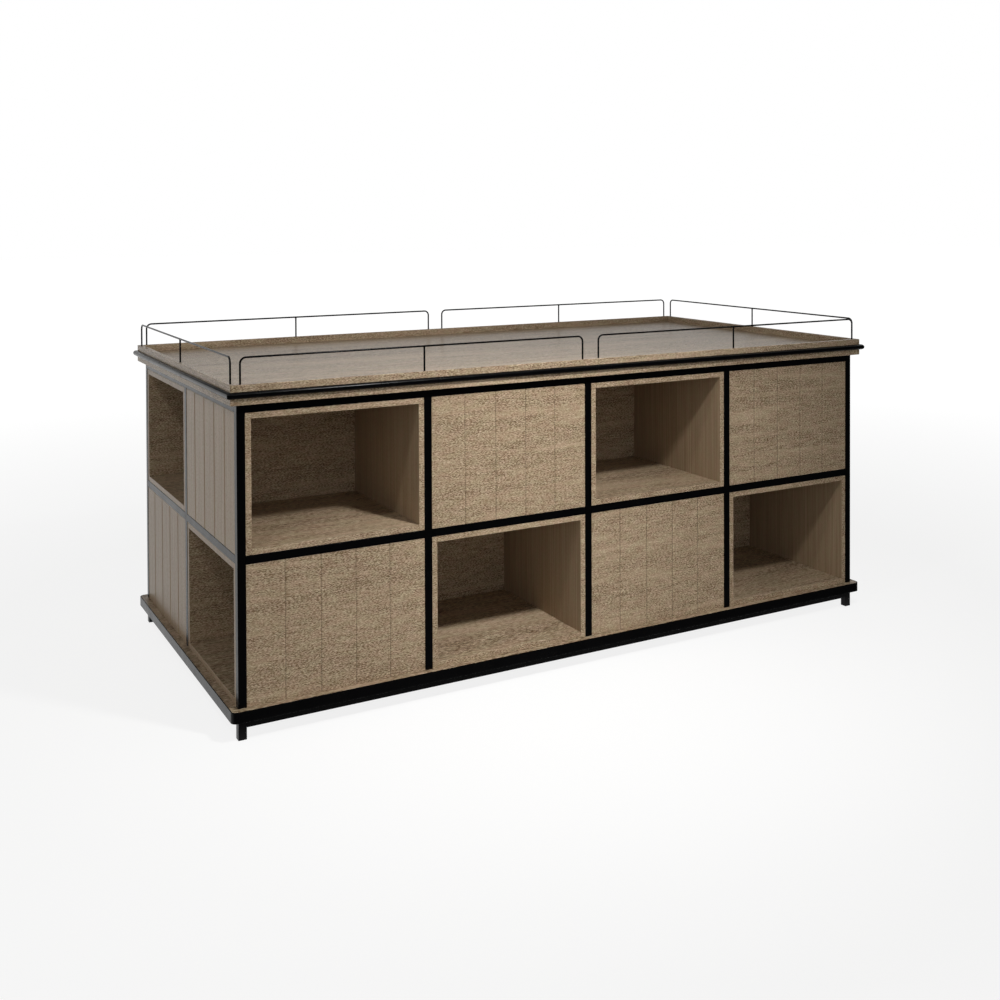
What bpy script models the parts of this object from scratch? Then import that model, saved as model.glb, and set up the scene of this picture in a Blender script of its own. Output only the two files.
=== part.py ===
"""Shop display island: a black square-tube frame with open timber cubbies and closed grooved panels on
all four sides, a plinth with a metal edge on a welded under-frame, and a timber tray with wire gallery
rails on top.

Metres, Z up, the front faces -Y. Each side of the frame is built in the coordinates of an empty at its
lower left corner as seen from outside: x runs right along the side, y runs inwards, z is the height
above the floor.
"""

import math

import bmesh
import bpy
from mathutils import Matrix

# Frame of square tube, over the outside of its posts and up to the top of its top rails
LENGTH = 2.405
DEPTH = 1.215
FRAME_TOP = 0.981
TUBE = 0.025
TUBE_WALL = 0.0015
LONG_BAY_COUNT = 4
SHORT_BAY_COUNT = 2
LEG_PLATE = 0.003

# Plinth
BASE_UNDERSIDE = 0.060
BASE_THICK = 0.033
BASE_OVERHANG = 0.025
BASE_CORNER_RADIUS = 0.018
BAND_THICK = 0.003

# Cubby boxes and closed panels
BOARD = 0.018
BACK_GAP = 0.073
FACE_SETBACK = 0.001
SIDE_GAP = 0.0005
TOP_GAP = 0.001
PANEL_THICK = 0.018
PANEL_BOARDS = 5
GROOVE_PITCH = 0.1114
END_GROOVE_PITCH = 0.1175
GROOVE_WIDTH = 0.010
GROOVE_DEPTH = 0.0020

# Top tray
DECK_THICK = 0.036
FASCIA_HEIGHT = 0.060
FASCIA_THICK = 0.018
FASCIA_OVERHANG = 0.024
BEAD_DIAMETER = 0.020
BEAD_PROUD = 0.0135

# Gallery rails of bent wire, whose insets count from the outer end of the rim
WIRE = 0.006
GALLERY_RISE = 0.078
GALLERY_BEND = 0.018
GALLERY_SEAT = 0.018
RAIL_INSET = 0.0315
RAIL_GAP = 0.063

# Clearances: between two pieces that touch, and round a wire in its hole
FIT = 0.0003
HOLE_FIT = 0.0004

# Levels and sizes that follow from the ones above
LONG_PITCH = (LENGTH - TUBE) / LONG_BAY_COUNT
SHORT_PITCH = (DEPTH - TUBE) / SHORT_BAY_COUNT
BASE_TOP = BASE_UNDERSIDE + BASE_THICK
UNDER_FRAME = BASE_UNDERSIDE - FIT - TUBE
TOP_RAIL = FRAME_TOP - TUBE
ROW_CLEAR = (TOP_RAIL - BASE_TOP - TUBE) / 2
MID_RAIL = BASE_TOP + ROW_CLEAR
UPPER_ROW = MID_RAIL + TUBE
FASCIA_FOOT = FRAME_TOP + FIT
RIM_TOP = FASCIA_FOOT + FASCIA_HEIGHT
ROW_FLOORS = (BASE_TOP, UPPER_ROW)
ROW_NAMES = ("lower", "upper")
BLOCK_HEIGHT = ROW_CLEAR - FIT - TOP_GAP
HALF_TUBE = (TUBE - FIT) / 2
RIM_LINE = FASCIA_OVERHANG - FASCIA_THICK / 2
BEAD_CENTRE = FASCIA_OVERHANG + BEAD_PROUD - BEAD_DIAMETER / 2
BEAD_LEVEL = FASCIA_FOOT + FASCIA_HEIGHT / 2

# Sides of the round pieces
BEAD_SIDES = 24
GROOVE_STEPS = 10
BEND_STEPS = 6
CORNER_STEPS = 6
HOLE_SIDES = 16


def make_material(name, colour, roughness, metallic):
    material = bpy.data.materials.new(name)
    material.use_nodes = True
    shader = material.node_tree.nodes["Principled BSDF"]
    shader.inputs["Base Color"].default_value = (*colour, 1.0)
    shader.inputs["Roughness"].default_value = roughness
    shader.inputs["Metallic"].default_value = metallic
    return material


def mesh_from(name, points, faces):
    """A mesh with its faces turned outwards."""
    mesh = bpy.data.meshes.new(name)
    mesh.from_pydata(points, [], faces)
    work = bmesh.new()
    work.from_mesh(mesh)
    bmesh.ops.recalc_face_normals(work, faces=work.faces)
    work.to_mesh(mesh)
    work.free()
    return mesh


def put(mesh, material=None, parent=None, place=None):
    """The mesh as an object of the same name, placed in its parent's coordinates."""
    piece = bpy.data.objects.new(mesh.name, mesh)
    bpy.context.scene.collection.objects.link(piece)
    piece.parent = parent
    if place is not None:
        piece.matrix_basis = place
    if material is not None:
        mesh.materials.append(material)
    return piece


def combine(target, other, operation):
    """Joins the other piece to the target or cuts it out, and keeps the other piece as a hidden helper."""
    other.hide_render = True
    other.display_type = "WIRE"
    change = target.modifiers.new(other.name, "BOOLEAN")
    change.operation = operation
    change.solver = "EXACT"
    change.object = other


def rectangle(left, right, low, high):
    return [(left, low), (right, low), (right, high), (left, high)]


def rounded_rectangle(half_x, half_y, radius):
    points = []
    for corner in range(4):
        sign_x = 1 if corner in (0, 3) else -1
        sign_y = 1 if corner in (0, 1) else -1
        for step in range(CORNER_STEPS + 1):
            angle = (corner + step / CORNER_STEPS) * math.pi / 2
            points.append(
                (
                    sign_x * (half_x - radius) + radius * math.cos(angle),
                    sign_y * (half_y - radius) + radius * math.sin(angle),
                )
            )
    return points


def prism(name, outline, low, high):
    """The outline in x and y, filled and carried from one level to the other."""
    count = len(outline)
    points = [(x, y, z) for z in (low, high) for x, y in outline]
    faces = [tuple(range(count)), tuple(range(count, 2 * count))]
    for i in range(count):
        j = (i + 1) % count
        faces.append((i, j, count + j, count + i))
    return mesh_from(name, points, faces)


def hollow_prism(name, outer, inner, length, floor=0.0):
    """The outer outline with the inner one left open, from z = 0 to the length. A floor closes the lower
    end."""
    count = len(outer)
    rings = ((outer, 0.0), (outer, length), (inner, length), (inner, floor))
    points = [(x, y, z) for outline, z in rings for x, y in outline]
    faces = []
    for ring in range(3 if floor else 4):
        next_ring = (ring + 1) % 4
        for i in range(count):
            j = (i + 1) % count
            faces.append(
                (ring * count + i, ring * count + j, next_ring * count + j, next_ring * count + i)
            )
    if floor:
        faces.append(tuple(range(count)))
        faces.append(tuple(range(3 * count, 4 * count)))
    return mesh_from(name, points, faces)


def square_tube(name, length, floor=0.0):
    outer = rectangle(0.0, TUBE, 0.0, TUBE)
    inner = rectangle(TUBE_WALL, TUBE - TUBE_WALL, TUBE_WALL, TUBE - TUBE_WALL)
    return hollow_prism(name, outer, inner, length, floor)


def blocks(name, boxes):
    """Separate boxes in one mesh, each given by its two far corners."""
    points = []
    faces = []
    for low, high in boxes:
        first = len(points)
        for z in (low[2], high[2]):
            points += [(x, y, z) for x, y in rectangle(low[0], high[0], low[1], high[1])]
        faces += [tuple(first + i for i in ring) for ring in ((0, 1, 2, 3), (4, 5, 6, 7))]
        for i in range(4):
            j = (i + 1) % 4
            faces.append((first + i, first + j, first + 4 + j, first + 4 + i))
    return mesh_from(name, points, faces)


def add_corner_post(name, parent, material):
    """A corner post, which goes on down through the plinth as a leg with a closed end."""
    put(square_tube(name, FRAME_TOP, LEG_PLATE), material, parent)


def add_upright(name, start, parent, material):
    """An upright from the plinth to the top rail, notched from behind where the middle rail crosses it."""
    foot = BASE_TOP + FIT
    upright = put(
        square_tube(name, TOP_RAIL - FIT - foot),
        material,
        parent,
        Matrix.Translation((start, 0.0, foot)),
    )
    notch = ((start - FIT, HALF_TUBE, MID_RAIL - FIT), (start + TUBE + FIT, TUBE + FIT, UPPER_ROW + FIT))
    combine(upright, put(blocks(name + "_notch", [notch]), parent=parent), "DIFFERENCE")


def add_rail(name, side_length, level, crossings, parent, material):
    """A rail between two corner posts, notched in front where uprights cross it."""
    start = TUBE + FIT
    rail = put(
        square_tube(name, side_length - 2 * start),
        material,
        parent,
        Matrix.Translation((start, 0.0, level + TUBE)) @ Matrix.Rotation(math.pi / 2, 4, "Y"),
    )
    if crossings:
        notches = [
            ((x - FIT, -FIT, level - FIT), (x + TUBE + FIT, HALF_TUBE + FIT, level + TUBE + FIT))
            for x in crossings
        ]
        combine(rail, put(blocks(name + "_notch", notches), parent=parent), "DIFFERENCE")


def add_cubby(name, left, right, back, floor, parent, material):
    """An open box of five boards, its mouth just behind the face of the frame."""
    width = right - left
    depth = back - FACE_SETBACK
    outer = rectangle(0.0, width, 0.0, BLOCK_HEIGHT)
    inner = rectangle(BOARD, width - BOARD, BOARD, BLOCK_HEIGHT - BOARD)
    place = Matrix.Translation((left, back, floor + FIT)) @ Matrix.Rotation(math.pi / 2, 4, "X")
    put(hollow_prism(name, outer, inner, depth, BOARD), material, parent, place)


def add_panel(name, left, right, floor, groove_pitch, parent, material):
    """A closed panel with upright V-grooves between its boards."""
    outline = [(left, FACE_SETBACK)]
    for groove in range(1, PANEL_BOARDS):
        middle = (left + right) / 2 + (groove - PANEL_BOARDS / 2) * groove_pitch
        outline.append((middle - GROOVE_WIDTH / 2, FACE_SETBACK))
        outline.append((middle, FACE_SETBACK + GROOVE_DEPTH))
        outline.append((middle + GROOVE_WIDTH / 2, FACE_SETBACK))
    outline += [
        (right, FACE_SETBACK),
        (right, FACE_SETBACK + PANEL_THICK),
        (left, FACE_SETBACK + PANEL_THICK),
    ]
    put(prism(name, outline, floor + FIT, floor + FIT + BLOCK_HEIGHT), material, parent)


def fascia_profile():
    """Outline of a fascia board as (distance outside the frame, level), with the bead's hollow."""
    inside = FASCIA_OVERHANG - FASCIA_THICK
    hollow = BEAD_DIAMETER / 2 + FIT
    half_angle = math.acos((BEAD_CENTRE - FASCIA_OVERHANG) / hollow)
    profile = [(inside, RIM_TOP), (inside, FASCIA_FOOT), (FASCIA_OVERHANG, FASCIA_FOOT)]
    for step in range(GROOVE_STEPS + 1):
        angle = half_angle * (2 * step / GROOVE_STEPS - 1)
        profile.append((BEAD_CENTRE - hollow * math.cos(angle), BEAD_LEVEL + hollow * math.sin(angle)))
    profile.append((FASCIA_OVERHANG, RIM_TOP))
    return profile


def add_fascia(name, side_length, legs, parent, material):
    """A fascia board with mitred ends and a hole in its top edge for each leg of the gallery rails."""
    profile = fascia_profile()
    count = len(profile)
    points = [(-out + FIT, -out, level) for out, level in profile]
    points += [(side_length + out - FIT, -out, level) for out, level in profile]
    faces = [tuple(range(count)), tuple(range(count, 2 * count))]
    for i in range(count):
        j = (i + 1) % count
        faces.append((i, j, count + j, count + i))
    board = put(mesh_from(name, points, faces), material, parent)
    holes = bmesh.new()
    for x in legs:
        bmesh.ops.create_cone(
            holes,
            cap_ends=True,
            segments=HOLE_SIDES,
            radius1=WIRE / 2 + HOLE_FIT,
            radius2=WIRE / 2 + HOLE_FIT,
            depth=2 * GALLERY_SEAT,
            matrix=Matrix.Translation((x, -RIM_LINE, RIM_TOP)),
        )
    cutter = bpy.data.meshes.new(name + "_holes")
    holes.to_mesh(cutter)
    holes.free()
    combine(board, put(cutter, parent=parent), "DIFFERENCE")


def rail_spans(side_length, bays):
    """First and last leg of each gallery rail along a side: one rail for every two bays."""
    rails = bays // 2
    inset = RAIL_INSET - FASCIA_OVERHANG
    span = (side_length - 2 * inset - (rails - 1) * RAIL_GAP) / rails
    return [(inset + i * (span + RAIL_GAP), inset + i * (span + RAIL_GAP) + span) for i in range(rails)]


def wire_mesh(name, path):
    """A round wire along the path."""
    curve = bpy.data.curves.new(name, "CURVE")
    curve.dimensions = "3D"
    curve.bevel_depth = WIRE / 2
    curve.bevel_resolution = 2
    curve.use_fill_caps = True
    spline = curve.splines.new("POLY")
    spline.points.add(len(path) - 1)
    for point, (x, z) in zip(spline.points, path):
        point.co = (x, 0.0, z, 1.0)
    guide = bpy.data.objects.new(name + "_guide", curve)
    bpy.context.scene.collection.objects.link(guide)
    mesh = bpy.data.meshes.new_from_object(guide.evaluated_get(bpy.context.evaluated_depsgraph_get()))
    bpy.data.objects.remove(guide)
    mesh.name = name
    work = bmesh.new()
    work.from_mesh(mesh)
    bmesh.ops.remove_doubles(work, verts=work.verts, dist=1e-6)
    bmesh.ops.recalc_face_normals(work, faces=work.faces)
    work.to_mesh(mesh)
    work.free()
    return mesh


def add_gallery_rail(name, first, last, parent, material):
    """A bent wire with a leg at each end and one in the middle, its origin on the rim between its legs."""
    half = (last - first) / 2
    foot = FIT - GALLERY_SEAT
    right_side = [(half, foot)]
    for step in range(BEND_STEPS + 1):
        angle = step / BEND_STEPS * math.pi / 2
        right_side.append(
            (
                half - GALLERY_BEND * (1 - math.cos(angle)),
                GALLERY_RISE - GALLERY_BEND * (1 - math.sin(angle)),
            )
        )
    left_side = [(-x, z) for x, z in reversed(right_side)]
    place = Matrix.Translation((first + half, -RIM_LINE, RIM_TOP))
    rail = put(wire_mesh(name, right_side + left_side), material, parent, place)
    middle = put(wire_mesh(name + "_middle", [(0.0, foot), (0.0, GALLERY_RISE)]), None, parent, place)
    combine(rail, middle, "UNION")
    rail.data.shade_smooth()
    rail.data.set_sharp_from_angle(angle=math.radians(50))


def add_side(name, bays, pitch, cross_pitch, corner, turn, materials):
    """Everything that belongs to one side of the island, except its corner posts. The cross pitch is that
    of the bays round the corner, which sets how deep a box may be."""
    metal, timber = materials
    side_length = bays * pitch + TUBE
    box_back = cross_pitch + (TUBE - BACK_GAP) / 2
    groove_pitch = GROOVE_PITCH if bays == LONG_BAY_COUNT else END_GROOVE_PITCH
    side = bpy.data.objects.new(name + "_side", None)
    bpy.context.scene.collection.objects.link(side)
    side.matrix_basis = Matrix.Translation(corner) @ Matrix.Rotation(turn, 4, "Z")
    crossings = [bay * pitch for bay in range(1, bays)]
    add_rail("mid_rail_" + name, side_length, MID_RAIL, crossings, side, metal)
    add_rail("top_rail_" + name, side_length, TOP_RAIL, [], side, metal)
    for number, start in enumerate(crossings, 1):
        add_upright(f"upright_{name}_{number}", start, side, metal)
    for row, (row_name, floor) in enumerate(zip(ROW_NAMES, ROW_FLOORS)):
        for bay in range(1, bays + 1):
            left = (bay - 1) * pitch + TUBE + SIDE_GAP
            right = bay * pitch - SIDE_GAP
            if (bay + row) % 2 == 0:
                add_cubby(f"cubby_{name}_{row_name}_{bay}", left, right, box_back, floor, side, timber)
            else:
                panel = f"panel_{name}_{row_name}_{bay}"
                add_panel(panel, left, right, floor, groove_pitch, side, timber)
    spans = rail_spans(side_length, bays)
    legs = [x for first, last in spans for x in (first, (first + last) / 2, last)]
    add_fascia("fascia_" + name, side_length, legs, side, timber)
    for number, (first, last) in enumerate(spans, 1):
        rail_name = f"gallery_rail_{name}_{number}" if len(spans) > 1 else f"gallery_rail_{name}"
        add_gallery_rail(rail_name, first, last, side, metal)
    return side


def add_base(metal, timber):
    """The plinth board, with a square hole for each corner post, and the metal band round its edge."""
    half_x = LENGTH / 2 + BASE_OVERHANG
    half_y = DEPTH / 2 + BASE_OVERHANG
    band_outer = rounded_rectangle(half_x, half_y, BASE_CORNER_RADIUS)
    band_inner = rounded_rectangle(
        half_x - BAND_THICK, half_y - BAND_THICK, BASE_CORNER_RADIUS - BAND_THICK
    )
    inset = BAND_THICK + FIT
    edge = rounded_rectangle(half_x - inset, half_y - inset, BASE_CORNER_RADIUS - inset)
    lift = Matrix.Translation((0.0, 0.0, BASE_UNDERSIDE))
    put(hollow_prism("base_edge_band", band_outer, band_inner, BASE_THICK), metal, place=lift)
    board = put(prism("base_board", edge, BASE_UNDERSIDE, BASE_TOP), timber)
    holes = []
    for x in (-LENGTH / 2, LENGTH / 2 - TUBE):
        for y in (-DEPTH / 2, DEPTH / 2 - TUBE):
            low = (x - FIT, y - FIT, BASE_UNDERSIDE - FIT)
            holes.append((low, (x + TUBE + FIT, y + TUBE + FIT, BASE_TOP + FIT)))
    combine(board, put(blocks("base_board_holes", holes)), "DIFFERENCE")


def add_under_frame(metal):
    """The ring that carries the plinth. Its tube is welded shut at the corners, so it is made solid. The long
    sides lie between the corner posts, flush with them, and the short sides run just inside them."""
    half_x = LENGTH / 2 - TUBE - FIT
    half_y = DEPTH / 2
    outer = rectangle(-half_x, half_x, -half_y, half_y)
    inner = rectangle(-half_x + TUBE, half_x - TUBE, -half_y + TUBE, half_y - TUBE)
    lift = Matrix.Translation((0.0, 0.0, UNDER_FRAME))
    put(hollow_prism("under_frame", outer, inner, TUBE), metal, place=lift)


def add_decks(timber):
    """The hidden board that carries the upper row of boxes, and the deck that lies on the top rails."""
    inner_x = LENGTH / 2 - TUBE - FIT
    inner_y = DEPTH / 2 - TUBE - FIT
    low = (-inner_x, -inner_y, BASE_TOP + FIT + BLOCK_HEIGHT + FIT)
    put(blocks("mid_deck", [(low, (inner_x, inner_y, UPPER_ROW))]), timber)
    reach = FASCIA_OVERHANG - FASCIA_THICK - FIT
    deck_x = LENGTH / 2 + reach
    deck_y = DEPTH / 2 + reach
    low = (-deck_x, -deck_y, FRAME_TOP + FIT)
    put(blocks("top_deck", [(low, (deck_x, deck_y, FRAME_TOP + FIT + DECK_THICK))]), timber)


def add_bead(metal):
    """The round bead, welded into one ring with mitred corners, which lies in the hollow of the fascia."""
    points = []
    for sign_x, sign_y in ((-1, -1), (1, -1), (1, 1), (-1, 1)):
        for side in range(BEAD_SIDES):
            angle = side / BEAD_SIDES * 2 * math.pi
            out = BEAD_CENTRE + BEAD_DIAMETER / 2 * math.cos(angle)
            level = BEAD_LEVEL + BEAD_DIAMETER / 2 * math.sin(angle)
            points.append((sign_x * (LENGTH / 2 + out), sign_y * (DEPTH / 2 + out), level))
    faces = []
    for corner in range(4):
        here = corner * BEAD_SIDES
        there = (corner + 1) % 4 * BEAD_SIDES
        for i in range(BEAD_SIDES):
            j = (i + 1) % BEAD_SIDES
            faces.append((here + i, here + j, there + j, there + i))
    bead = put(mesh_from("fascia_bead", points, faces), metal)
    bead.data.shade_smooth()
    bead.data.set_sharp_from_angle(angle=math.radians(40))


def build():
    for piece in list(bpy.data.objects):
        bpy.data.objects.remove(piece)
    metal = make_material("black_gloss_paint", (0.004, 0.004, 0.005), 0.25, 0.0)
    timber = make_material("light_oak_veneer", (0.33, 0.25, 0.17), 0.4, 0.0)
    add_base(metal, timber)
    add_under_frame(metal)
    half_x = LENGTH / 2
    half_y = DEPTH / 2
    long_side = (LONG_BAY_COUNT, LONG_PITCH, SHORT_PITCH)
    short_side = (SHORT_BAY_COUNT, SHORT_PITCH, LONG_PITCH)
    plan = (
        ("front", long_side, (-half_x, -half_y, 0.0), "corner_post_front_left"),
        ("right", short_side, (half_x, -half_y, 0.0), "corner_post_front_right"),
        ("rear", long_side, (half_x, half_y, 0.0), "corner_post_rear_right"),
        ("left", short_side, (-half_x, half_y, 0.0), "corner_post_rear_left"),
    )
    for quarter, (name, bay_sizes, corner, post) in enumerate(plan):
        side = add_side(name, *bay_sizes, corner, quarter * math.pi / 2, (metal, timber))
        add_corner_post(post, side, metal)
    add_decks(timber)
    add_bead(metal)


build()
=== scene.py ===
"""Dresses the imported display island: eased oak boards, welded black tube, bent wire rails, studio light
and camera.

Metres, Z up, the front faces -Y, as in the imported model. Pieces of one side are made in that side's own
coordinates: x runs right along its face as seen from outside, y runs inwards, z is the height above the
floor.
"""

import math
import random

import bmesh
import bpy
from mathutils import Matrix, Vector


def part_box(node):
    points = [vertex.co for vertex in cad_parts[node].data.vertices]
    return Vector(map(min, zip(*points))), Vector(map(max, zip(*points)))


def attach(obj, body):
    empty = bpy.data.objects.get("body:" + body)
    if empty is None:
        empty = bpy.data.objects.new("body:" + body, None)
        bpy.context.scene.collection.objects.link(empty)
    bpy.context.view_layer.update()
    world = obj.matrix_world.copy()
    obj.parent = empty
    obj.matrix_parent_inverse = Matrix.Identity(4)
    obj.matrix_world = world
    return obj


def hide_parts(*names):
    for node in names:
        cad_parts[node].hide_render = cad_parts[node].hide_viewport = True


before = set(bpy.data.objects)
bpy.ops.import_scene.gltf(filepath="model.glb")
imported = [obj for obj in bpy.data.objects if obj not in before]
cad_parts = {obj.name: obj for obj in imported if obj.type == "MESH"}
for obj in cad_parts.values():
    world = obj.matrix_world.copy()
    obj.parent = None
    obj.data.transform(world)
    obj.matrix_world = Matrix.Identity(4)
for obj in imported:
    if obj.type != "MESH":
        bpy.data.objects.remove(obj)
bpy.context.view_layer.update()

# Timber: board thickness, eased arrises, and the V-grooves sawn in the closed panels. A face that leans
# sideways by more than the last value is the flank of a groove.
BOARD = 0.018
BOARD_ARRIS = 0.0008
RIM_ARRIS = 0.0015
PANEL_BOARDS = 5
GROOVE_PITCH = 0.1114
END_GROOVE_PITCH = 0.1175
GROOVE_WIDTH = 0.010
GROOVE_DEPTH = 0.0020
GROOVE_FLANK = 0.2

# Steel: corners of the square tube and of the plinth band, the bend and the legs of a wire rail, and the
# clearances in timber of a wire and of the bead
TUBE_CORNER = 0.001
BAND = 0.003
BAND_CORNER = 0.018
BAND_ARRIS = 0.0007
WIRE_BEND = 0.018
RAIL_LEGS = 3
HOLE_CLEARANCE = 0.0004
BEAD_CLEARANCE = 0.0003

# The weld of a rail's middle leg: its radius and its drop in wire radii, and how it is drawn out
WELD_RADIUS = 1.25
WELD_DROP = 0.5
WELD_STRETCH = (1.3, 0.9, 1.0)

# Steps and sides of the round forms, and the angle from which an edge stays sharp
EDGE_STEPS = 3
BAND_STEPS = 8
HOLLOW_STEPS = 12
BEAD_STEPS = 32
TUBE_STEPS = 4
BEND_STEPS = 10
WIRE_SIDES = 16
V_CUTTER_SIDES = 4
DRILL_SIDES = 16
CREASE = math.radians(60)

# The face that each axis looks out of, with the axes that run along the veneer's grain and across it there
GRAIN_OF_CARCASS = {0: (2, 1), 1: (0, 2), 2: (0, 1)}
GRAIN_OF_SIDE_RIM = {0: (1, 2), 1: (0, 2), 2: (1, 0)}

# Patterns of the veneer: length along the grain and width across it in metres, detail and roughness. Real
# flecks and dashes are finer. These are as coarse as the photograph's pixels show them. The bands waver,
# and each pattern is turned, in radians, once it has been stretched.
VENEER_PATTERNS = {
    "fleck": (0.0080, 0.0010, 1.0, 0.60),
    "dash": (0.0600, 0.0016, 1.0, 0.50),
    "band": (0.5000, 0.0400, 2.0, 0.55),
    "mottle": (0.0450, 0.0200, 1.0, 0.50),
    "streak": (0.5000, 0.0060, 3.0, 0.60),
    "pore": (0.0120, 0.0009, 1.0, 0.50),
}
BAND_WAVE = 0.6
PATTERN_TURN = 0.6

# Boards are cut from anywhere in a sheet this long and wide
VENEER_REACH = 9.0

# Tones of the veneer, from its dark flecks to its pale ground
VENEER_TONES = (
    (0.20, "#644F3A"),
    (0.38, "#8A7359"),
    (0.50, "#A28C73"),
    (0.62, "#B9A48A"),
    (0.80, "#D9C7AE"),
)

# Floors and decks lie flat to the eye, so their flecks are drawn coarser along the grain and across it
FLAT_GRAIN = (0.45, 0.5)

# How strongly both finishes mirror the studio face on
FACE_ON_SHINE = 0.10

# Camera, found from the edges of the frame in the photograph
CAMERA_PLACE = (-2.18267, -4.09403, 1.53389)
CAMERA_YAW = 0.52515
CAMERA_PITCH = 0.01642
CAMERA_ROLL = -0.00303
CAMERA_LENS = 43.708
CAMERA_SHIFT = (-0.04632, -0.26699)

# Studio: a softbox above the front, a smaller one further off to the left, pale walls, and a wide floor
KEY_PLACE = (-0.078, -2.123, 2.564)
KEY_TARGET = (-0.300, -0.607, 0.420)
KEY_SIZE = 0.25
KEY_SPREAD = math.radians(78)
KEY_POWER = 10.4
FILL_PLACE = (-2.45, -1.7, 3.1)
FILL_TARGET = (-0.9, -0.4, 0.6)
FILL_SIZE = 0.15
FILL_POWER = 10.5
WALL_LIGHT = 0.86
CEILING_LIGHT = 0.1
FLOOR_REACH = 40.0

# What glossy pieces mirror: darkness in front of the object, and a greyer studio above
FRONT_MIRRORED = 0.02
OVERHEAD_MIRRORED = 0.71


def linear(code):
    """A colour written as sRGB hex, in the linear values that shaders take."""
    values = []
    for start in (1, 3, 5):
        value = int(code[start : start + 2], 16) / 255
        values.append(value / 12.92 if value <= 0.04045 else ((value + 0.055) / 1.055) ** 2.4)
    return (*values, 1.0)


def add_node(tree, kind, inputs=None, **settings):
    """Adds a node with its settings, and sets each input to a value or links it to another socket."""
    made = tree.nodes.new(kind)
    for name, value in settings.items():
        setattr(made, name, value)
    for key, value in (inputs or {}).items():
        if isinstance(value, bpy.types.NodeSocket):
            tree.links.new(value, made.inputs[key])
        else:
            made.inputs[key].default_value = value
    return made


def calculate(tree, operation, *values):
    """The result of a calculation on numbers and sockets."""
    return add_node(tree, "ShaderNodeMath", dict(enumerate(values)), operation=operation).outputs[0]


def graded(tree, value, from_low, from_high, to_low, to_high):
    """A value carried from one range to another, and held at its ends."""
    ends = {"From Min": from_low, "From Max": from_high, "To Min": to_low, "To Max": to_high}
    return add_node(tree, "ShaderNodeMapRange", {"Value": value, **ends}).outputs["Result"]


def blend(tree, share, first, second, blend_type="MIX"):
    """Two colours mixed, or multiplied, by the second's share."""
    colours = {0: share, 6: first, 7: second}
    return add_node(tree, "ShaderNodeMix", colours, data_type="RGBA", blend_type=blend_type).outputs[2]


def between(tree, share, first, second):
    """A value between two others, by the second's share."""
    return add_node(tree, "ShaderNodeMix", {0: share, 2: first, 3: second}, data_type="FLOAT").outputs[0]


def point(tree, x=0.0, y=0.0, z=0.0):
    """A vector of numbers and sockets."""
    return add_node(tree, "ShaderNodeCombineXYZ", {0: x, 1: y, 2: z}).outputs["Vector"]


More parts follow.
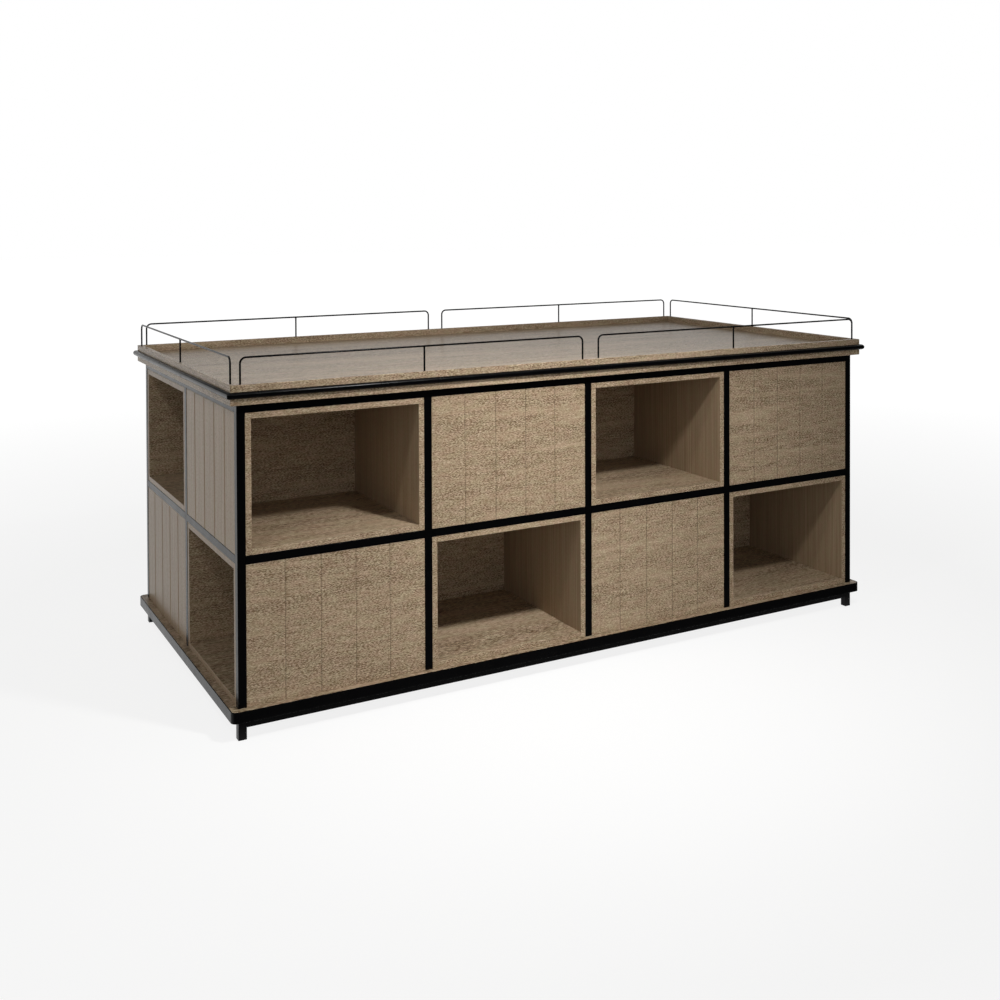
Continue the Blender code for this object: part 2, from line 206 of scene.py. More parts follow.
def oak_veneer():
    """Light oak veneer, oiled: short darker flecks and longer dashes, gathered in wavy bands on the wide
    faces, and long quiet streaks on the straight-grained ones. The oil leaves a thin gloss that only shows
    at a glancing angle."""
    material = bpy.data.materials.new("oak_veneer_oiled")
    material.use_nodes = True
    tree = material.node_tree
    shader = tree.nodes["Principled BSDF"]
    grain = add_node(tree, "ShaderNodeUVMap", uv_map="grain").outputs["UV"]
    straight = add_node(tree, "ShaderNodeAttribute", attribute_name="straight_grain").outputs["Fac"]
    tone = add_node(tree, "ShaderNodeAttribute", attribute_name="board_tone").outputs["Fac"]
    # Painted shade at the roots of the V-grooves, where a corner of a groove lies deep in the board
    root = add_node(tree, "ShaderNodeAttribute", attribute_name="groove_root_shade").outputs["Fac"]
    pattern = {}
    for name, (along, across, detail, roughness) in VENEER_PATTERNS.items():
        # Turned after it is stretched, so that the noise's square cells don't line up in columns
        stretched = add_node(
            tree,
            "ShaderNodeMapping",
            {
                "Vector": grain,
                "Scale": (1 / along, 1 / across, 1.0),
                "Rotation": (0.0, 0.0, PATTERN_TURN),
            },
        )
        noise = add_node(
            tree,
            "ShaderNodeTexNoise",
            {
                "Vector": stretched.outputs["Vector"],
                "Scale": 1.0,
                "Detail": detail,
                "Roughness": roughness,
                "Distortion": BAND_WAVE if name == "band" else 0.0,
            },
            noise_dimensions="2D",
        )
        pattern[name] = noise.outputs["Fac"]
    # On a wide face the flecks and dashes are strong in the darker bands and quiet between them
    banded = calculate(tree, "MULTIPLY_ADD", pattern["band"], 0.4, 0.287)
    swing = graded(tree, pattern["band"], 0.35, 0.65, 2.5, 1.0)
    centred = calculate(tree, "MULTIPLY_ADD", pattern["dash"], 0.4, -0.70)
    centred = calculate(tree, "ADD", pattern["fleck"], centred)
    flecked = calculate(tree, "MULTIPLY_ADD", centred, swing, banded)
    # A straight-grained face is nearly all streak
    streaked = calculate(tree, "MULTIPLY_ADD", pattern["streak"], 0.3, 0.35)
    figure = between(tree, straight, flecked, streaked)
    # Each board is a little darker or paler than the next
    toned = calculate(tree, "MULTIPLY_ADD", tone, 0.012, figure)
    ramp = add_node(tree, "ShaderNodeValToRGB", {"Fac": toned})
    elements = ramp.color_ramp.elements
    while len(elements) < len(VENEER_TONES):
        elements.new(0.5)
    for element, (position, colour) in zip(elements, VENEER_TONES):
        element.position = position
        element.color = linear(colour)
    # Patches lean to pink or to green
    hue = graded(tree, pattern["mottle"], 0.35, 0.65, 0.0, 1.0)
    tint = blend(tree, hue, linear("#FFFAF9"), linear("#FCFFF9"))
    colour = blend(tree, 1.0, ramp.outputs["Color"], tint, "MULTIPLY")
    pores = graded(tree, pattern["pore"], 0.60, 0.72, 0.0, 0.20)
    colour = blend(tree, pores, colour, linear("#4A3827"))
    # A thin brown line of painted shade down the roots of the V-grooves
    groove_shade = graded(tree, root, 0.6, 0.9, 0.0, 0.60)
    colour = blend(tree, groove_shade, colour, linear("#4A3A2A"))
    tree.links.new(colour, shader.inputs["Base Color"])
    gloss = graded(tree, pattern["fleck"], 0.3, 0.7, 0.34, 0.26)
    tree.links.new(gloss, shader.inputs["Roughness"])
    relief = add_node(tree, "ShaderNodeBump", {"Strength": 0.12, "Distance": 0.0002, "Height": toned})
    tree.links.new(relief.outputs["Normal"], shader.inputs["Normal"])
    shader.inputs["Specular IOR Level"].default_value = FACE_ON_SHINE
    return material


def black_paint():
    """Steel under black gloss powder coat: deep black face on, grey at a glancing angle, with the slight
    orange peel of a baked coat and faint handling smears in its gloss."""
    material = bpy.data.materials.new("steel_black_powder_coat")
    material.use_nodes = True
    tree = material.node_tree
    shader = tree.nodes["Principled BSDF"]
    place = add_node(tree, "ShaderNodeTexCoord").outputs["Object"]
    # A smear is about 60 mm across, and orange peel about 1.5 mm from crest to crest
    smears = {"Vector": place, "Scale": 1 / 0.060, "Detail": 3.0, "Roughness": 0.6}
    smear = add_node(tree, "ShaderNodeTexNoise", smears).outputs["Fac"]
    crests = {"Vector": place, "Scale": 1 / 0.0015, "Detail": 0.0}
    peel = add_node(tree, "ShaderNodeTexNoise", crests).outputs["Fac"]
    colour = blend(tree, smear, linear("#020203"), linear("#070708"))
    tree.links.new(colour, shader.inputs["Base Color"])
    gloss = graded(tree, smear, 0.3, 0.7, 0.18, 0.28)
    tree.links.new(gloss, shader.inputs["Roughness"])
    relief = add_node(tree, "ShaderNodeBump", {"Strength": 0.04, "Distance": 0.0001, "Height": peel})
    tree.links.new(relief.outputs["Normal"], shader.inputs["Normal"])
    shader.inputs["Specular IOR Level"].default_value = FACE_ON_SHINE
    return material


OAK = oak_veneer()
STEEL = black_paint()


def side_place(post, quarter):
    """Turns a side's own coordinates into the model's: its origin is the outer corner of the post at its
    left."""
    low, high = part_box(post)
    x = high.x if quarter in (1, 2) else low.x
    y = high.y if quarter in (2, 3) else low.y
    return Matrix.Translation((x, y, 0.0)) @ Matrix.Rotation(quarter * math.pi / 2, 4, "Z")


LEFT_POSTS = {
    "front": "corner_post_front_left",
    "right": "corner_post_front_right",
    "rear": "corner_post_rear_right",
    "left": "corner_post_rear_left",
}
SIDES = {name: side_place(post, quarter) for quarter, (name, post) in enumerate(LEFT_POSTS.items())}
POST_LOW, POST_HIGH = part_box("corner_post_front_left")
TUBE = POST_HIGH.x - POST_LOW.x


def box_on(side, node):
    """A node's lowest and highest corners in a side's coordinates."""
    back = SIDES[side].inverted()
    ends = [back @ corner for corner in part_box(node)]
    return Vector(map(min, *ends)), Vector(map(max, *ends))


def nodes_called(start):
    """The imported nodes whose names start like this, in order."""
    return [name for name in sorted(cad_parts) if name.startswith(start)]


def with_veneer(work):
    """Gives the mesh the layers that the veneer reads: its grain map, its figure, the board's tone and the
    painted shade at the roots of its grooves."""
    work.loops.layers.uv.new("grain")
    for name in ("straight_grain", "board_tone"):
        work.faces.layers.float.new(name)
    work.verts.layers.float.new("groove_root_shade")
    return work


def add_board(work, low, high):
    """A board between two corners, its arrises eased. Gives its faces."""
    others = set(work.faces)
    size = high - low
    corners = bmesh.ops.create_cube(work, size=1.0)["verts"]
    for corner in corners:
        corner.co = Vector(low[i] + (corner.co[i] + 0.5) * size[i] for i in range(3))
    edges = {edge for corner in corners for edge in corner.link_edges}
    bmesh.ops.bevel(work, geom=list(edges), offset=BOARD_ARRIS, segments=2, profile=0.5, affect="EDGES")
    return [face for face in work.faces if face not in others]


def lay_grain(work, faces, board, axes=GRAIN_OF_CARCASS):
    """Maps a board's faces in metres, along the grain and across it, from the board's own place in the
    veneer."""
    veneer = work.loops.layers.uv["grain"]
    straight = work.faces.layers.float["straight_grain"]
    tone = work.faces.layers.float["board_tone"]
    chance = random.Random(board)
    start = (chance.uniform(0.0, VENEER_REACH), chance.uniform(0.0, VENEER_REACH))
    shade = chance.uniform(-1.0, 1.0)
    for face in faces:
        facing = max(range(3), key=lambda axis: abs(face.normal[axis]))
        along, across = axes[facing]
        scale = FLAT_GRAIN if facing == 2 else (1.0, 1.0)
        face[straight] = 1.0 if along == 2 else 0.0
        face[tone] = shade
        for loop in face.loops:
            place = loop.vert.co
            loop[veneer].uv = (start[0] + place[along] * scale[0], start[1] + place[across] * scale[1])


def set_piece(work, name, material, slot, *nodes, body="root"):
    """Makes a finished piece of the mesh, which rides on its body and stands for its nodes."""
    mesh = bpy.data.meshes.new(name)
    bmesh.ops.recalc_face_normals(work, faces=work.faces)
    for face in work.faces:
        face.smooth = True
    for edge in work.edges:
        edge.smooth = edge.smooth and edge.calc_face_angle(math.pi) < CREASE
    work.to_mesh(mesh)
    work.free()
    mesh.materials.clear()
    mesh.materials.append(material)
    piece = bpy.data.objects.new(name, mesh)
    bpy.context.scene.collection.objects.link(piece)
    piece.modifiers.new("even_shading", "WEIGHTED_NORMAL").keep_sharp = True
    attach(piece, body)
    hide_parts(*nodes)


def new_tree(name, sizes, takes_mesh=False):
    """An empty tree of Geometry Nodes with named inputs for its sizes, and the sockets of those inputs."""
    tree = bpy.data.node_groups.new(name, "GeometryNodeTree")
    if takes_mesh:
        tree.interface.new_socket("Board", in_out="INPUT", socket_type="NodeSocketGeometry")
    for size, kind in sizes.items():
        tree.interface.new_socket(size, in_out="INPUT", socket_type="NodeSocket" + kind)
    tree.interface.new_socket("Piece", in_out="OUTPUT", socket_type="NodeSocketGeometry")
    return tree, add_node(tree, "NodeGroupInput").outputs


def close_tree(tree, shape, material):
    """Ends a tree in Realize Instances and Set Material."""
    real = add_node(tree, "GeometryNodeRealizeInstances", {"Geometry": shape})
    painted = add_node(
        tree, "GeometryNodeSetMaterial", {"Geometry": real.outputs["Geometry"], "Material": material}
    )
    add_node(tree, "NodeGroupOutput", {0: painted.outputs["Geometry"]})
    return tree


def cuts_tree():
    """A row of upright cuts in a board: four-sided cutters saw V-grooves, many-sided ones drill holes."""
    tree, size = new_tree(
        "row_of_cuts",
        {
            "Cutter Sides": "Int",
            "Half Width": "Float",
            "Half Depth": "Float",
            "Cut Length": "Float",
            "First Cut": "Vector",
            "Step": "Vector",
            "Cuts": "Int",
        },
        takes_mesh=True,
    )
    row = add_node(
        tree,
        "GeometryNodeMeshLine",
        {"Count": size["Cuts"], "Start Location": size["First Cut"], "Offset": size["Step"]},
    )
    cutter = add_node(
        tree,
        "GeometryNodeMeshCylinder",
        {"Vertices": size["Cutter Sides"], "Radius": 1.0, "Depth": size["Cut Length"]},
    )
    cutters = add_node(
        tree,
        "GeometryNodeInstanceOnPoints",
        {
            "Points": row.outputs["Mesh"],
            "Instance": cutter.outputs["Mesh"],
            "Scale": point(tree, size["Half Width"], size["Half Depth"], 1.0),
        },
    )
    whole = add_node(tree, "GeometryNodeRealizeInstances", {"Geometry": cutters.outputs["Instances"]})
    cut = add_node(
        tree,
        "GeometryNodeMeshBoolean",
        {"Mesh 1": size["Board"], "Mesh 2": whole.outputs["Geometry"]},
        operation="DIFFERENCE",
        solver="EXACT",
    )
    return close_tree(tree, cut.outputs["Mesh"], OAK)


def tube_tree():
    """Square tube with rounded corners, in one length or in several that follow each other."""
    tree, size = new_tree(
        "square_tube",
        {
            "Tube Side": "Float",
            "Corner Radius": "Float",
            "Length": "Float",
            "Lengths": "Int",
            "Pitch": "Float",
        },
    )
    square = add_node(
        tree,
        "GeometryNodeCurvePrimitiveQuadrilateral",
        {"Width": size["Tube Side"], "Height": size["Tube Side"]},
    )
    section = add_node(
        tree,
        "GeometryNodeFilletCurve",
        {"Curve": square.outputs["Curve"], "Count": TUBE_STEPS, "Radius": size["Corner Radius"]},
        mode="POLY",
    )
    path = add_node(tree, "GeometryNodeCurvePrimitiveLine", {"End": point(tree, z=size["Length"])})
    length = add_node(
        tree,
        "GeometryNodeCurveToMesh",
        {"Curve": path.outputs["Curve"], "Profile Curve": section.outputs["Curve"], "Fill Caps": True},
    )
    row = add_node(
        tree,
        "GeometryNodeMeshLine",
        {"Count": size["Lengths"], "Offset": point(tree, z=size["Pitch"])},
    )
    lengths = add_node(
        tree,
        "GeometryNodeInstanceOnPoints",
        {"Points": row.outputs["Mesh"], "Instance": length.outputs["Mesh"]},
    )
    return close_tree(tree, lengths.outputs["Instances"], STEEL)


def wire_tree():
    """Gallery rail: one wire bent down at both ends, and a middle leg with its weld. Its origin is on the
    rim."""
    tree, size = new_tree(
        "gallery_rail",
        {
            "Half Span": "Float",
            "Rise": "Float",
            "Seat": "Float",
            "Bend Radius": "Float",
            "Wire Radius": "Float",
        },
    )
    right, top = size["Half Span"], size["Rise"]
    left = calculate(tree, "MULTIPLY", right, -1.0)
    foot = calculate(tree, "MULTIPLY", size["Seat"], -1.0)
    corners = ((left, foot), (left, top), (right, top), (right, foot))
    bends = {f"Point {number}": point(tree, x=x, z=z) for number, (x, z) in enumerate(corners, 1)}
    square = add_node(tree, "GeometryNodeCurvePrimitiveQuadrilateral", bends, mode="POINTS")
    opened = add_node(
        tree, "GeometryNodeSetSplineCyclic", {"Geometry": square.outputs["Curve"], "Cyclic": False}
    )
    bent = add_node(
        tree,
        "GeometryNodeFilletCurve",
        {"Curve": opened.outputs["Geometry"], "Count": BEND_STEPS, "Radius": size["Bend Radius"]},
        mode="POLY",
    )
    leg = add_node(
        tree,
        "GeometryNodeCurvePrimitiveLine",
        {"Start": point(tree, z=foot), "End": point(tree, z=top)},
    )
    both = add_node(tree, "GeometryNodeJoinGeometry")
    tree.links.new(bent.outputs["Curve"], both.inputs[0])
    tree.links.new(leg.outputs["Curve"], both.inputs[0])
    section = add_node(
        tree,
        "GeometryNodeCurvePrimitiveCircle",
        {"Resolution": WIRE_SIDES, "Radius": size["Wire Radius"]},
    )
    wire = add_node(
        tree,
        "GeometryNodeCurveToMesh",
        {"Curve": both.outputs[0], "Profile Curve": section.outputs["Curve"], "Fill Caps": True},
    )
    weld = add_node(
        tree,
        "GeometryNodeMeshUVSphere",
        {
            "Segments": WIRE_SIDES,
            "Rings": WIRE_SIDES // 2,
            "Radius": calculate(tree, "MULTIPLY", size["Wire Radius"], WELD_RADIUS),
        },
    )
    weld_level = calculate(tree, "MULTIPLY_ADD", size["Wire Radius"], -WELD_DROP, top)
    welded = add_node(
        tree,
        "GeometryNodeTransform",
        {
            "Geometry": weld.outputs["Mesh"],
            "Translation": point(tree, z=weld_level),
            "Scale": WELD_STRETCH,
        },
    )
    rail = add_node(tree, "GeometryNodeJoinGeometry")
    tree.links.new(wire.outputs["Mesh"], rail.inputs[0])
    tree.links.new(welded.outputs["Geometry"], rail.inputs[0])
    return close_tree(tree, rail.outputs[0], STEEL)


def grow(tree, sizes, board=None):
    """Runs a tree with these sizes, on a board where it takes one, and gives what it makes as a mesh to
    work on."""
    carrier = bpy.data.objects.new("carrier", bpy.data.meshes.new("carrier"))
    bpy.context.scene.collection.objects.link(carrier)
    if board is not None:
        board.to_mesh(carrier.data)
        board.free()
    modifier = carrier.modifiers.new(tree.name, "NODES")
    modifier.node_group = tree
    for socket in tree.interface.items_tree:
        if socket.in_out == "INPUT" and socket.name in sizes:
            modifier[socket.identifier] = sizes[socket.name]
    grown = bpy.data.meshes.new_from_object(
        carrier.evaluated_get(bpy.context.evaluated_depsgraph_get())
    )
    carrier.modifiers.remove(modifier)
    work = bmesh.new()
    work.from_mesh(grown)
    bpy.data.meshes.remove(grown)
    bpy.data.meshes.remove(carrier.data)
    return work


CUTS = cuts_tree()
SQUARE_TUBE = tube_tree()
GALLERY_RAIL = wire_tree()


def make_cubby(node):
    """An open box: two sides, then a floor, a top and a back between them."""
    side = node.split("_")[1]
    low, high = box_on(side, node)
    inner_low = low + Vector((BOARD, 0.0, BOARD))
    inner_high = high - Vector((BOARD, BOARD, BOARD))
    boards = {
        "left": (low, Vector((inner_low.x, high.y, high.z))),
        "right": (Vector((inner_high.x, low.y, low.z)), high),
        "floor": (Vector((inner_low.x, low.y, low.z)), Vector((inner_high.x, high.y, inner_low.z))),
        "top": (Vector((inner_low.x, low.y, inner_high.z)), Vector((inner_high.x, high.y, high.z))),
        "back": (
            Vector((inner_low.x, inner_high.y, inner_low.z)),
            Vector((inner_high.x, high.y, inner_high.z)),
        ),
    }
    work = with_veneer(bmesh.new())
    faces = {name: add_board(work, *corners) for name, corners in boards.items()}
    work.transform(SIDES[side])
    work.normal_update()
    for name, its_faces in faces.items():
        lay_grain(work, its_faces, node + name)
    set_piece(work, "oak_" + node, OAK, "timber", node)


def make_panel(node):
    """A closed panel, one sheet with V-grooves sawn down its face."""
    side = node.split("_")[1]
    low, high = box_on(side, node)
    sheet = bmesh.new()
    add_board(sheet, low, high)
    middle = (low + high) / 2
    pitch = END_GROOVE_PITCH if side in ("left", "right") else GROOVE_PITCH
    first = middle.x - (PANEL_BOARDS / 2 - 1) * pitch
    work = grow(
        CUTS,
        {
            "Cutter Sides": V_CUTTER_SIDES,
            "Half Width": GROOVE_WIDTH / 2,
            "Half Depth": GROOVE_DEPTH,
            "Cut Length": high.z - low.z + BOARD,
            "First Cut": (first, low.y, middle.z),
            "Step": (pitch, 0.0, 0.0),
            "Cuts": PANEL_BOARDS - 1,
        },
        sheet,
    )
    root = with_veneer(work).verts.layers.float["groove_root_shade"]
    work.normal_update()
    for face in work.faces:
        inside = low.x + BOARD < face.calc_center_median().x < high.x - BOARD
        if abs(face.normal.x) < GROOVE_FLANK or not inside:
            continue
        for edge in face.edges:
            edge.smooth = False
        for corner in face.verts:
            # The deepest corners of a groove's flanks carry its painted shade
            corner[root] = 1.0 if corner.co.y > low.y + GROOVE_DEPTH / 2 else 0.0
    work.transform(SIDES[side])
    work.normal_update()
    lay_grain(work, work.faces, node)
    set_piece(work, "oak_" + node, OAK, "timber", node)


def make_tube(node, lengths=1, pitch=0.0):
    """A post, upright or rail of square tube. A rail crossed by uprights is welded between them in equal
    lengths."""
    low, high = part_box(node)
    size = high - low
    run = max(range(3), key=lambda axis: size[axis])
    length = size[run] - pitch * (lengths - 1)
    work = grow(
        SQUARE_TUBE,
        {
            "Tube Side": TUBE,
            "Corner Radius": TUBE_CORNER,
            "Length": length,
            "Lengths": lengths,
            "Pitch": pitch,
        },
    )
    turn = {0: Matrix.Rotation(math.pi / 2, 4, "Y"), 1: Matrix.Rotation(-math.pi / 2, 4, "X"), 2: Matrix()}
    start = (low + high) / 2
    start[run] = low[run]
    work.transform(Matrix.Translation(start) @ turn[run])
    set_piece(work, "steel_" + node, STEEL, "black_metal", node)


def make_frame():
    """The welded frame: whole posts, uprights and top rails, and middle rails in lengths between uprights."""
    for start in ("corner_post_", "upright_", "top_rail_"):
        for node in nodes_called(start):
            make_tube(node)
    for side in SIDES:
        uprights = nodes_called(f"upright_{side}_")
        pitch = box_on(side, uprights[0])[0].x
        make_tube("mid_rail_" + side, len(uprights) + 1, pitch)


def loop_round(half_x, half_y, corner_radius, steps):
    """Outline of a rectangle seen from above. Nought steps and no radius give mitred corners."""
    points = []
    for quarter, (sign_x, sign_y) in enumerate(((1, 1), (-1, 1), (-1, -1), (1, -1))):
        for step in range(steps + 1):
            angle = (quarter + step / max(steps, 1)) * math.pi / 2
            points.append(
                (
                    sign_x * (half_x - corner_radius) + corner_radius * math.cos(angle),
                    sign_y * (half_y - corner_radius) + corner_radius * math.sin(angle),
                )
            )
    return points


def sweep_round(work, half_x, half_y, corner_radius, steps, profile, filled=False):
    """Carries a profile of (distance outwards, level) round a rectangle, and closes it on itself or fills
    its ends."""
    rings = []
    for out, level in profile:
        radius = corner_radius + out if steps else 0.0
        outline = loop_round(half_x + out, half_y + out, radius, steps)
        rings.append([work.verts.new((x, y, level)) for x, y in outline])
    count = len(rings[0])
    for number, ring in enumerate(rings):
        if filled and number == len(rings) - 1:
            break
        following = rings[(number + 1) % len(rings)]
        for i in range(count):
            j = (i + 1) % count
            work.faces.new((ring[i], ring[j], following[j], following[i]))
    if filled:
        work.faces.new(rings[0])
        work.faces.new(rings[-1])


def arc(centre, radius, start, end, steps):
    """Points on an arc in a profile, its angles in quarter turns from outwards to upwards."""
    points = []
    for step in range(steps + 1):
        angle = (start + (end - start) * step / steps) * math.pi / 2
        points.append((centre[0] + radius * math.cos(angle), centre[1] + radius * math.sin(angle)))
    return points


def bar_profile(inside, outside, low, high, radius):
    """Section of a flat bar or board with rounded edges, as (distance outwards, level)."""
    near = (inside + radius, outside - radius)
    level = (low + radius, high - radius)
    profile = arc((near[1], level[0]), radius, -1, 0, EDGE_STEPS)
    profile += arc((near[1], level[1]), radius, 0, 1, EDGE_STEPS)
    profile += arc((near[0], level[1]), radius, 1, 2, EDGE_STEPS)
    profile += arc((near[0], level[0]), radius, 2, 3, EDGE_STEPS)
    return profile


def make_plinth():
    """The plinth board, and the flat steel band bent round its edge."""
    low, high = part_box("base_edge_band")
    band = bmesh.new()
    profile = bar_profile(-BAND, 0.0, low.z, high.z, BAND_ARRIS)
    sweep_round(band, high.x, high.y, BAND_CORNER, BAND_STEPS, profile)
    set_piece(band, "steel_base_edge_band", STEEL, "black_metal", "base_edge_band")
    low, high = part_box("base_board")
    board = bmesh.new()
    profile = [
        (-BOARD_ARRIS, high.z),
        (0.0, high.z - BOARD_ARRIS),
        (0.0, low.z + BOARD_ARRIS),
        (-BOARD_ARRIS, low.z),
    ]
    sweep_round(board, high.x, high.y, BAND_CORNER - BAND, BAND_STEPS, profile, filled=True)
    board.normal_update()
    lay_grain(with_veneer(board), board.faces, "base_board")
    set_piece(board, "oak_base_board", OAK, "timber", "base_board")


def make_under_frame():
    """The ring of square tube under the plinth, mitred and welded at its corners."""
    low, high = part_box("under_frame")
    work = bmesh.new()
    profile = bar_profile(-TUBE, 0.0, low.z, high.z, TUBE_CORNER)
    sweep_round(work, high.x, high.y, 0.0, 0, profile)
    set_piece(work, "steel_under_frame", STEEL, "black_metal", "under_frame")


def make_decks():
    """The hidden middle deck, and the deck inside the rim."""
    for node in ("mid_deck", "top_deck"):
        work = with_veneer(bmesh.new())
        faces = add_board(work, *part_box(node))
        work.normal_update()
        lay_grain(work, faces, node)
        set_piece(work, "oak_" + node, OAK, "timber", node)


def bead_section():
    """Radius of the bead, the distance of its centre outside the frame, and its level."""
    low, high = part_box("fascia_bead")
    radius = (high.z - low.z) / 2
    return radius, -radius - low.y + POST_LOW.y, low.z + radius


def make_bead():
    """The round bead along the middle of the rim, in one ring with mitred corners."""
    radius, out, level = bead_section()
    work = bmesh.new()
    profile = arc((out, level), radius, 0, 4, BEAD_STEPS)[:-1]
    sweep_round(work, -POST_LOW.x, -POST_LOW.y, 0.0, 0, profile)
    set_piece(work, "steel_fascia_bead", STEEL, "black_metal", "fascia_bead")


def rails_on(side):
    """The gallery rails of a side."""
    return nodes_called(f"gallery_rail_{side}")


def make_fascia(side):
    """A rim board with mitred ends, a hollow for the bead, and a drilled hole for each leg of the gallery
    rails."""
    node = "fascia_" + side
    low, high = box_on(side, node)
    inside, outside = -high.y, -low.y
    radius, bead_out, bead_level = bead_section()
    hollow = radius + BEAD_CLEARANCE
    reach = math.acos((bead_out - outside) / hollow) / (math.pi / 2)
    profile = bar_profile(inside, outside, low.z, high.z, RIM_ARRIS)
    lower_edge_end = EDGE_STEPS + 1
    bed = arc((bead_out, bead_level), hollow, 2 + reach, 2 - reach, HOLLOW_STEPS)
    profile[lower_edge_end:lower_edge_end] = bed
    board = bmesh.new()
    mitre_gap = low.x + outside
    ends = []
    for start, sign in ((0.0, -1), (high.x + low.x, 1)):
        ends.append(
            [board.verts.new((start + sign * (out - mitre_gap), -out, level)) for out, level in profile]
        )
    count = len(profile)
    for i in range(count):
        j = (i + 1) % count
        board.faces.new((ends[0][i], ends[0][j], ends[1][j], ends[1][i]))
    for end in ends:
        board.faces.new(end)
    bmesh.ops.recalc_face_normals(board, faces=board.faces)
    for rail in rails_on(side):
        rail_low, rail_high = box_on(side, rail)
        wire = rail_high.y - rail_low.y
        span = rail_high.x - rail_low.x - wire
        board = grow(
            CUTS,
            {
                "Cutter Sides": DRILL_SIDES,
                "Half Width": wire / 2 + HOLE_CLEARANCE,
                "Half Depth": wire / 2 + HOLE_CLEARANCE,
                "Cut Length": 2 * (high.z - rail_low.z),
                "First Cut": (rail_low.x + wire / 2, (rail_low.y + rail_high.y) / 2, high.z),
                "Step": (span / (RAIL_LEGS - 1), 0.0, 0.0),
                "Cuts": RAIL_LEGS,
            },
            board,
        )
    board.transform(SIDES[side])
    board.normal_update()
    axes = GRAIN_OF_CARCASS if side in ("front", "rear") else GRAIN_OF_SIDE_RIM
    lay_grain(with_veneer(board), board.faces, node, axes)
    set_piece(board, "oak_" + node, OAK, "timber", node)


def make_gallery_rail(side, node):
    """A rail of bent wire, which lifts out of its holes on a body of its own."""
    low, high = box_on(side, node)
    rim = box_on(side, "fascia_" + side)[1].z
    wire = high.y - low.y
    work = grow(
        GALLERY_RAIL,
        {
            "Half Span": (high.x - low.x - wire) / 2,
            "Rise": high.z - wire / 2 - rim,
            "Seat": rim - low.z,
            "Bend Radius": WIRE_BEND,
            "Wire Radius": wire / 2,
        },
    )
    middle = (low + high) / 2
    work.transform(SIDES[side] @ Matrix.Translation((middle.x, middle.y, rim)))
    set_piece(work, "steel_" + node, STEEL, "black_metal", node, body=node)


def studio_floor():
    """Pale floor. The camera sees it white, less the object's soft shadow, and so do reflections, except in
    front of the object, where the studio is dark."""
    material = bpy.data.materials.new("studio_floor_white_paint")
    material.use_nodes = True
    tree = material.node_tree
    tree.nodes.clear()
    path = add_node(tree, "ShaderNodeLightPath").outputs
    seen = calculate(tree, "MAXIMUM", path["Is Camera Ray"], path["Is Glossy Ray"])
    seen = calculate(tree, "MAXIMUM", seen, path["Is Transmission Ray"])
    place = add_node(tree, "ShaderNodeTexCoord").outputs["Object"]
    # The floor's own white grows from 2 m to 7 m away, where no shadow reaches
    far = add_node(tree, "ShaderNodeVectorMath", {0: place}, operation="LENGTH").outputs["Value"]
    glow = graded(tree, far, 2.0, 7.0, 0.84, 1.0)
    # The dark starts just in front of the plinth
    forward = add_node(tree, "ShaderNodeSeparateXYZ", {"Vector": place}).outputs["Y"]
    mirrored = graded(tree, forward, -0.74, -0.62, FRONT_MIRRORED, 1.0)
    kept = calculate(tree, "MAXIMUM", mirrored, path["Is Camera Ray"])
    white = calculate(tree, "MULTIPLY", glow, seen)
    white = calculate(tree, "MULTIPLY", white, kept)
    paint = blend(tree, seen, linear("#C8C8C6"), linear("#7C7C7B"))
    matt = add_node(tree, "ShaderNodeBsdfDiffuse", {"Color": paint})
    bright = add_node(tree, "ShaderNodeEmission", {"Strength": white})
    both = add_node(tree, "ShaderNodeAddShader", {0: matt.outputs[0], 1: bright.outputs[0]})
    add_node(tree, "ShaderNodeOutputMaterial", {"Surface": both.outputs[0]})
    work = bmesh.new()
    bmesh.ops.create_grid(work, x_segments=1, y_segments=1, size=FLOOR_REACH)
    mesh = bpy.data.meshes.new("studio_floor")
    work.to_mesh(mesh)
    work.free()
    mesh.materials.append(material)
    floor = bpy.data.objects.new("studio_floor", mesh)
    bpy.context.scene.collection.objects.link(floor)


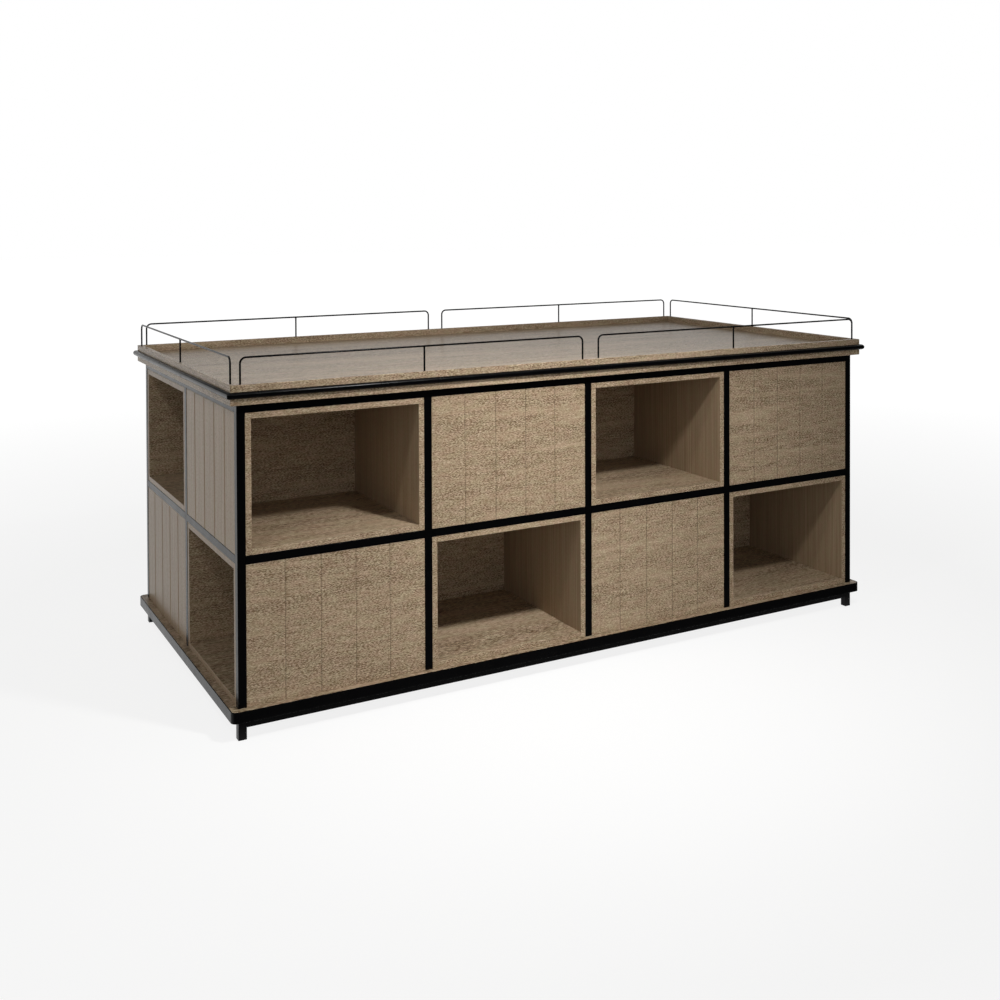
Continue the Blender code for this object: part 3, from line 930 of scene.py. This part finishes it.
def studio_walls():
    """Pale walls round the studio: white to the camera, and a soft light on the object that comes from low
    down. Reflections show them white beside and behind the object, greyer overhead, and dark in front."""
    world = bpy.data.worlds.new("studio_walls")
    bpy.context.scene.world = world
    world.use_nodes = True
    tree = world.node_tree
    tree.nodes.clear()
    path = add_node(tree, "ShaderNodeLightPath").outputs
    direction = add_node(tree, "ShaderNodeTexCoord").outputs["Generated"]
    towards = add_node(tree, "ShaderNodeSeparateXYZ", {"Vector": direction}).outputs
    level = calculate(tree, "ABSOLUTE", towards["Z"])
    lit = graded(tree, level, 0.1, 0.6, WALL_LIGHT, CEILING_LIGHT)
    mirrored = graded(tree, towards["Y"], -0.6, -0.1, FRONT_MIRRORED, 1.0)
    overhead = graded(tree, towards["Z"], 0.03, 0.15, 1.0, OVERHEAD_MIRRORED)
    mirrored = calculate(tree, "MULTIPLY", mirrored, overhead)
    shine = calculate(tree, "MAXIMUM", path["Is Glossy Ray"], path["Is Transmission Ray"])
    strength = between(tree, shine, lit, mirrored)
    strength = between(tree, path["Is Camera Ray"], strength, 1.0)
    walls = {"Color": linear("#FFFFFF"), "Strength": strength}
    background = add_node(tree, "ShaderNodeBackground", walls)
    add_node(tree, "ShaderNodeOutputWorld", {"Surface": background.outputs[0]})


def hang_softbox(name, place, target, size, power, spread=math.pi):
    """A round lamp that looks at its target."""
    light = bpy.data.lights.new(name, "AREA")
    light.shape = "DISK"
    light.size = size
    light.energy = power
    light.spread = spread
    lamp = bpy.data.objects.new(name, light)
    bpy.context.scene.collection.objects.link(lamp)
    aim = (Vector(target) - Vector(place)).to_track_quat("-Z", "Y").to_matrix().to_4x4()
    lamp.matrix_world = Matrix.Translation(place) @ aim


def set_camera():
    """The photograph's camera, nearly level, with the object low in its picture."""
    data = bpy.data.cameras.new("camera")
    data.sensor_width = 36.0
    data.lens = CAMERA_LENS
    data.shift_x, data.shift_y = CAMERA_SHIFT
    camera = bpy.data.objects.new("camera", data)
    bpy.context.scene.collection.objects.link(camera)
    camera.matrix_world = (
        Matrix.Translation(CAMERA_PLACE)
        @ Matrix.Rotation(-CAMERA_YAW, 4, "Z")
        @ Matrix.Rotation(math.pi / 2 - CAMERA_PITCH, 4, "X")
        @ Matrix.Rotation(CAMERA_ROLL, 4, "Z")
    )
    bpy.context.scene.camera = camera


set_camera()
make_frame()
for cubby in nodes_called("cubby_"):
    make_cubby(cubby)
for panel in nodes_called("panel_"):
    make_panel(panel)
make_plinth()
make_under_frame()
make_decks()
make_bead()
for side_name in SIDES:
    make_fascia(side_name)
    for gallery_rail in rails_on(side_name):
        make_gallery_rail(side_name, gallery_rail)
studio_floor()
studio_walls()
hang_softbox("key_softbox", KEY_PLACE, KEY_TARGET, KEY_SIZE, KEY_POWER, KEY_SPREAD)
hang_softbox("left_softbox", FILL_PLACE, FILL_TARGET, FILL_SIZE, FILL_POWER)
bpy.context.scene.view_settings.view_transform = "Standard"
